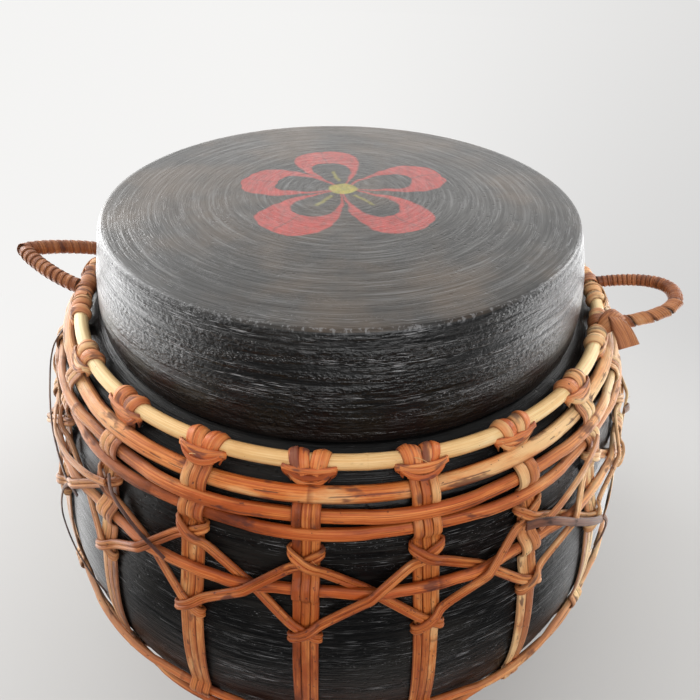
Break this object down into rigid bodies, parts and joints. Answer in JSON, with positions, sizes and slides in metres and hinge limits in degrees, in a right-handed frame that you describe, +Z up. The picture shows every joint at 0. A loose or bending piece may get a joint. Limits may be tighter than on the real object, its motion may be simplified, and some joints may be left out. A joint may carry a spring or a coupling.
{
  "type": "lidded jar in rattan basketwork",
  "caption": "Black clay storage jar with a deep flat lid, held in open rattan basketwork with looped stakes, woven rods and two hinged carrying handles.",
  "frame": {"origin": "centre of the jar's foot, on the floor it stands on", "axes": "+Z up through the jar and lid, -Y towards the front as pictured, +X to the right of someone facing the front"},
  "size_m": [0.481, 0.4808, 0.4],
  "materials": {
    "jar_clay": "matte",
    "lid_clay": "satin",
    "pale_rattan": "satin",
    "brown_rattan": "satin",
    "handle_wrap": "satin"
  },
  "bodies": {
    "jar_and_basket": {"jar": "jar_clay", "rim_hoop": "pale_rattan", "foot_hoop": "pale_rattan", "rim_rod_1": "brown_rattan", "rim_rod_2": "brown_rattan", "rim_rod_3": "brown_rattan", "lattice_rod": "brown_rattan", "belly_rod_1": "brown_rattan", "belly_rod_2": "brown_rattan", "lattice_cane_1": "brown_rattan", "lattice_cane_2": "brown_rattan", "stake_01": "brown_rattan", "stake_02": "brown_rattan", "stake_03": "brown_rattan", "stake_04": "brown_rattan", "stake_05": "brown_rattan", "stake_06": "brown_rattan", "stake_07": "brown_rattan", "stake_08": "brown_rattan", "stake_09": "brown_rattan", "stake_10": "brown_rattan", "stake_11": "brown_rattan", "stake_12": "brown_rattan", "stake_13": "brown_rattan", "stake_14": "brown_rattan", "stake_15": "brown_rattan", "stake_16": "brown_rattan", "stake_17": "brown_rattan", "stake_18": "brown_rattan", "stake_19": "brown_rattan", "stake_20": "brown_rattan", "stake_21": "brown_rattan", "stake_22": "brown_rattan"},
    "lid": {"lid": "lid_clay"},
    "handle_right": {"handle_right": "handle_wrap"},
    "handle_left": {"handle_left": "handle_wrap"}
  },
  "joints": [
    {"name": "lid_lift", "type": "slide", "parent": "jar_and_basket", "child": "lid", "axis": [0, 0, 1], "range_m": [0, 0.15]},
    {"name": "handle_right_hinge", "type": "hinge", "parent": "jar_and_basket", "child": "handle_right", "pos_m": [0.16866, -0.04712, 0.34475], "axis": [-0.2691, -0.9631, 0], "range_deg": [-28, 75]},
    {"name": "handle_left_hinge", "type": "hinge", "parent": "jar_and_basket", "child": "handle_left", "pos_m": [-0.17476, -0.01124, 0.34475], "axis": [-0.0642, 0.9979, 0], "range_deg": [-31, 75]}
  ]
}
